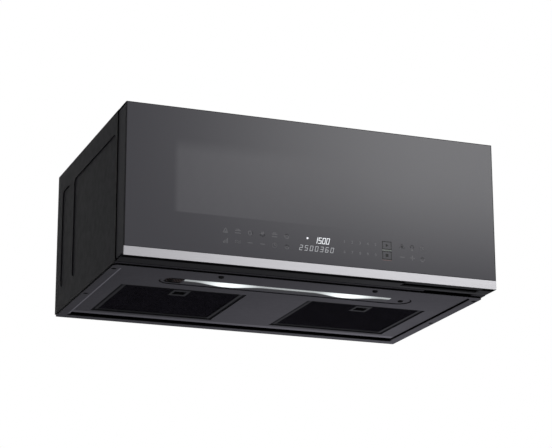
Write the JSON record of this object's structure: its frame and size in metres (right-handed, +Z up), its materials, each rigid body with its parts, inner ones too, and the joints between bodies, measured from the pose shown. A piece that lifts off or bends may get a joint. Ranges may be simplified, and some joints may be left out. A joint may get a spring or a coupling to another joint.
{
  "type": "over-the-range microwave oven",
  "caption": "Low-profile over-the-range microwave: dark glass door with a steel strip and touch keys, turntable oven, grease filters and cooktop light below, ducted blower.",
  "frame": {"origin": "The middle of the wall face: mid width of the cabinet, on its rear plane, half way up the case (151 mm below its top).", "axes": "+X points right for someone facing the door, +Y points into the wall, +Z points up."},
  "size_m": [0.759, 0.498, 0.304],
  "materials": {
    "case_paint": "black baked paint on sheet steel",
    "base_paint": "dark grey textured paint on sheet steel",
    "galvanised": "zinc coated sheet steel",
    "oven_enamel": "light grey oven paint",
    "filter_black": "blackened metal mesh and rim",
    "brushed_steel": "horizontally brushed",
    "bare_steel": "plain steel",
    "aluminium": "mill finish",
    "dark_glass": "tempered glass, printed dark behind",
    "clear_glass": "clear tempered glass",
    "frosted_lens": "frosted lens, lit",
    "black_plastic": "black moulding",
    "white_plastic": "white moulding",
    "mica": "pressed mica sheet",
    "copper": "enamelled copper winding",
    "charcoal": "black activated carbon pad",
    "circuit": "printed circuit board with its parts",
    "rubber": "soft black rubber"
  },
  "bodies": {
    "cabinet": {"outer_case": "case_paint", "rear_panel": "galvanised", "base_pan": "base_paint", "chassis_plate": "galvanised", "front_frame": "case_paint", "light_cover": "base_paint", "light_lens": "frosted_lens", "led_board": "circuit", "light_screw_left": "bare_steel", "light_screw_right": "bare_steel", "oven_cavity": "oven_enamel", "mica_cover": "mica", "cavity_lamp": "white_plastic", "turntable_motor": "galvanised", "waveguide": "galvanised", "magnetron": "aluminium", "transformer_core": "bare_steel", "transformer_coils": "copper", "hv_capacitor": "aluminium", "power_board": "circuit", "fan_shroud": "galvanised", "cooling_motor": "bare_steel", "blower_housing": "galvanised", "blower_motor": "bare_steel", "exhaust_collar": "galvanised", "vent_grille": "black_plastic", "charcoal_filter": "charcoal", "cord_grommet": "rubber", "hinge_bracket_bottom": "bare_steel", "hinge_bracket_top": "bare_steel", "latch_board": "black_plastic", "interlock_switch_lower": "black_plastic", "interlock_switch_upper": "black_plastic"},
    "door": {"door_glass": "dark_glass", "steel_trim": "brushed_steel", "door_frame": "black_plastic", "door_choke": "oven_enamel", "choke_cover": "black_plastic", "inner_window": "clear_glass", "hinge_bush_bottom": "white_plastic", "hinge_bush_top": "white_plastic", "touch_board": "circuit", "latch_spring": "bare_steel"},
    "latch": {"latch_hooks": "white_plastic"},
    "plunger_lower": {"switch_plunger_lower": "white_plastic"},
    "plunger_upper": {"switch_plunger_upper": "white_plastic"},
    "filter_left": {"grease_filter_left": "filter_black"},
    "filter_right": {"grease_filter_right": "filter_black"},
    "tray": {"glass_tray": "clear_glass", "turntable_coupler": "white_plastic"},
    "ring": {"roller_ring": "white_plastic"},
    "wheel_1": {"roller_wheel_1": "white_plastic"},
    "wheel_2": {"roller_wheel_2": "white_plastic"},
    "wheel_3": {"roller_wheel_3": "white_plastic"},
    "blower_rotor": {"blower_shaft": "bare_steel", "impeller_left": "white_plastic", "impeller_right": "white_plastic"},
    "fan": {"cooling_fan": "white_plastic"},
    "damper": {"damper_flap": "aluminium"}
  },
  "joints": [
    {"name": "door_hinge", "type": "hinge", "parent": "cabinet", "child": "door", "pos_m": [-0.366, -0.479, 0], "axis": [0, 0, -1], "range_deg": [0, 100]},
    {"name": "latch_lift", "type": "slide", "parent": "door", "child": "latch", "axis": [0, 0, 1], "range_m": [0, 0.005], "stiffness_N_per_m": 300, "springref_m": -0.002, "deforming": ["latch_spring"]},
    {"name": "plunger_lower_press", "type": "slide", "parent": "cabinet", "child": "plunger_lower", "axis": [0, 1, 0], "range_m": [0, 0.002], "stiffness_N_per_m": 200, "springref_m": -0.001},
    {"name": "plunger_upper_press", "type": "slide", "parent": "cabinet", "child": "plunger_upper", "axis": [0, 1, 0], "range_m": [0, 0.002], "stiffness_N_per_m": 200, "springref_m": -0.001},
    {"name": "filter_left_release", "type": "slide", "parent": "cabinet", "child": "filter_left", "axis": [0, 1, 0], "range_m": [0, 0.008]},
    {"name": "filter_right_release", "type": "slide", "parent": "cabinet", "child": "filter_right", "axis": [0, 1, 0], "range_m": [0, 0.008]},
    {"name": "tray_spin", "type": "hinge", "parent": "cabinet", "child": "tray", "pos_m": [-0.055, -0.2797, 0], "axis": [0, 0, 1], "continuous": true},
    {"name": "ring_roll", "type": "hinge", "parent": "cabinet", "child": "ring", "pos_m": [-0.055, -0.2797, 0], "axis": [0, 0, 1], "continuous": true},
    {"name": "wheel_1_spin", "type": "hinge", "parent": "ring", "child": "wheel_1", "pos_m": [0.043, -0.2797, -0.085], "axis": [1, 0, 0], "continuous": true},
    {"name": "wheel_2_spin", "type": "hinge", "parent": "ring", "child": "wheel_2", "pos_m": [-0.104, -0.19483, -0.085], "axis": [-0.5, 0.866, 0], "continuous": true},
    {"name": "wheel_3_spin", "type": "hinge", "parent": "ring", "child": "wheel_3", "pos_m": [-0.104, -0.36457, -0.085], "axis": [-0.5, -0.866, 0], "continuous": true},
    {"name": "blower_spin", "type": "hinge", "parent": "cabinet", "child": "blower_rotor", "pos_m": [0, -0.0575, 0.061], "axis": [1, 0, 0], "continuous": true},
    {"name": "fan_spin", "type": "hinge", "parent": "cabinet", "child": "fan", "pos_m": [0.288, -0.122, 0.0355], "axis": [0, 1, 0], "continuous": true},
    {"name": "damper_lift", "type": "hinge", "parent": "cabinet", "child": "damper", "pos_m": [0, -0.0212, 0.123], "axis": [-1, 0, 0], "range_deg": [0, 80]}
  ],
  "couplings": [
    {"joint": "ring_roll", "follows": "tray_spin", "ratio": 0.5},
    {"joint": "wheel_1_spin", "follows": "tray_spin", "ratio": -6.8056},
    {"joint": "wheel_2_spin", "follows": "tray_spin", "ratio": -6.8056},
    {"joint": "wheel_3_spin", "follows": "tray_spin", "ratio": -6.8056}
  ]
}
